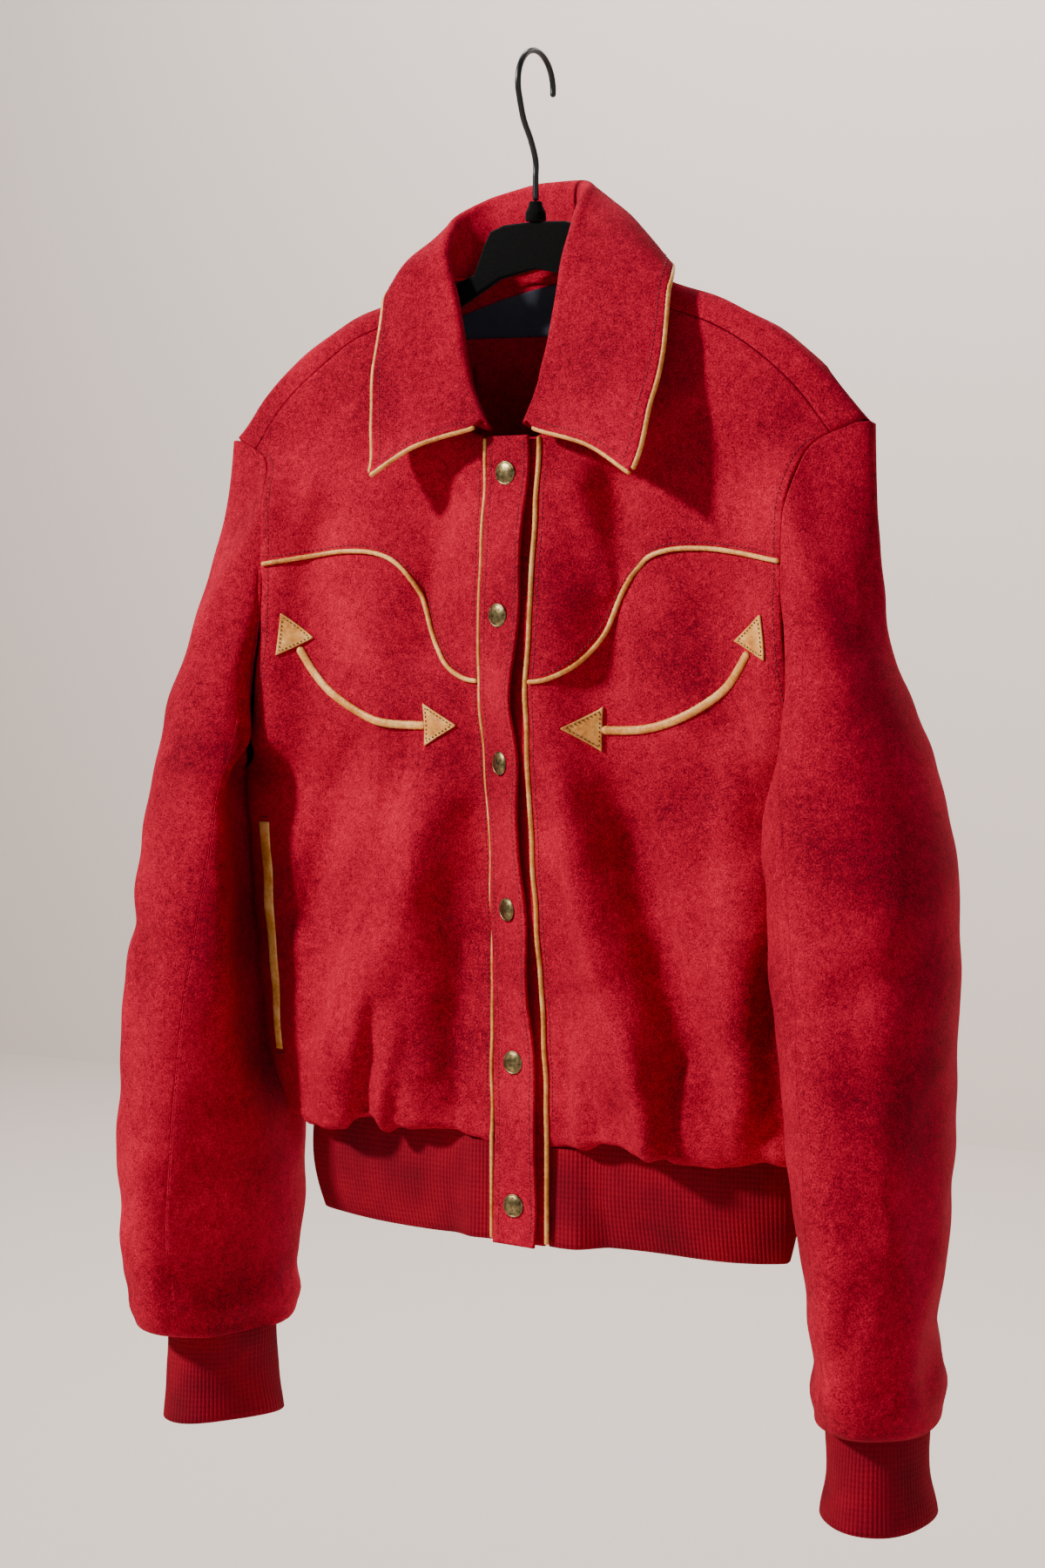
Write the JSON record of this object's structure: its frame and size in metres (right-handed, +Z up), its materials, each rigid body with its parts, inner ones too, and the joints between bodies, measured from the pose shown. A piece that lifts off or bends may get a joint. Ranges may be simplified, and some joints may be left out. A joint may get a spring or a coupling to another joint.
{
  "type": "bomber jacket on a hanger",
  "caption": "Western-yoke suede bomber jacket with snap front, turned-down collar and ribbed hem and cuffs, hanging on a shoulder hanger with a wire hook.",
  "frame": {"origin": "seat of the hanger's hook, the underside of the wire where it rests on a rail", "axes": "+Z up; the jacket's front faces -Y; +X towards the wearer's left side"},
  "size_m": [0.5768, 0.1627, 0.8898],
  "materials": {
    "suede": "matt red suede nap",
    "rib_knit": "red rib knit",
    "tan_leather": "satin golden tan leather",
    "snap_brass": "antique brass",
    "lining_twill": "dark navy twill",
    "flocked_plastic": "black flock",
    "black_wire": "black painted wire"
  },
  "bodies": {
    "root": {"back": "suede", "front_left": "suede", "yoke_left": "suede", "front_right": "suede", "yoke_right": "suede", "sleeve_top_left": "suede", "sleeve_under_left": "suede", "sleeve_top_right": "suede", "sleeve_under_right": "suede", "collar": "suede", "placket": "suede", "placket_under": "suede", "neck_facing": "suede", "neck_patch": "suede", "hem_rib": "rib_knit", "cuff_left": "rib_knit", "cuff_right": "rib_knit", "piping_collar_edge": "tan_leather", "piping_collar_right": "tan_leather", "piping_collar_left": "tan_leather", "piping_yoke_left": "tan_leather", "piping_yoke_right": "tan_leather", "piping_placket_left": "tan_leather", "piping_placket_right": "tan_leather", "arrow_strip_left": "tan_leather", "arrow_inner_left": "tan_leather", "arrow_outer_left": "tan_leather", "arrow_strip_right": "tan_leather", "arrow_inner_right": "tan_leather", "arrow_outer_right": "tan_leather", "welt_left": "tan_leather", "welt_right": "tan_leather", "snap_1": "snap_brass", "snap_2": "snap_brass", "snap_3": "snap_brass", "snap_4": "snap_brass", "snap_5": "snap_brass", "snap_6": "snap_brass", "neck_lining": "lining_twill", "hanger_board": "flocked_plastic", "hanger_ferrule": "flocked_plastic", "hanger_hook": "black_wire"}
  },
  "joints": []
}
